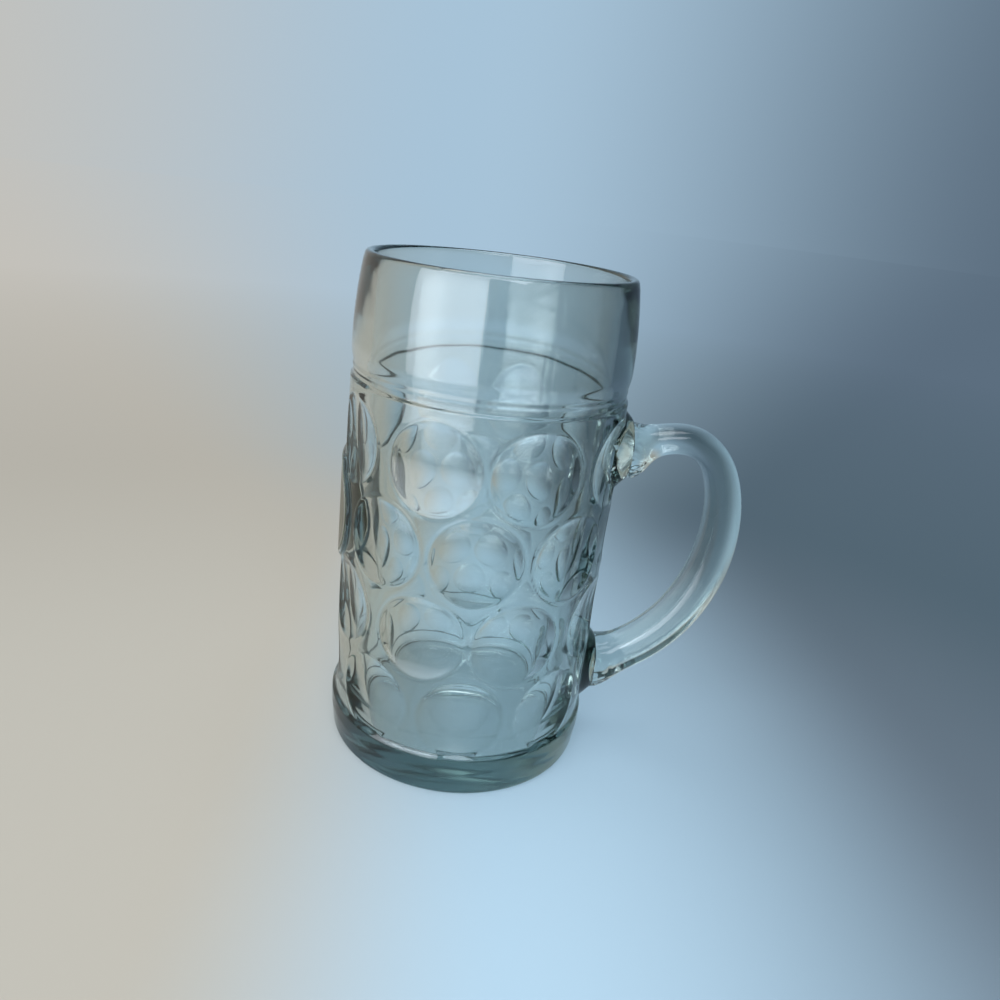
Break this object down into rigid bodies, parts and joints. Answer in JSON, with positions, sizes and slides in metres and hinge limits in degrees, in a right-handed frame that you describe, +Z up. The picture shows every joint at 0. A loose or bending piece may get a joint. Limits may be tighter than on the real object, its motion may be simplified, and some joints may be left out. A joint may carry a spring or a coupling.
{
  "type": "beer mug",
  "caption": "Tall dimpled glass beer mug with a heavy foot, a beaded ring under its plain rim band, a fused glass handle and a round enamel print on a raised medallion.",
  "frame": {"origin": "centre of the resting ring, on the mug's axis and in the plane of the table", "axes": "+Z up along the mug's axis, +X towards the handle, the medallion faces -X"},
  "size_m": [0.165, 0.1106, 0.2],
  "materials": {
    "body_glass": "clear pressed soda-lime glass, fire polished",
    "handle_glass": "clear pressed soda-lime glass, fire polished",
    "enamel": "opaque glass enamel, fired on, satin gloss"
  },
  "bodies": {
    "root": {"glass_body": "body_glass", "handle": "handle_glass", "badge_print": "enamel"}
  },
  "joints": []
}
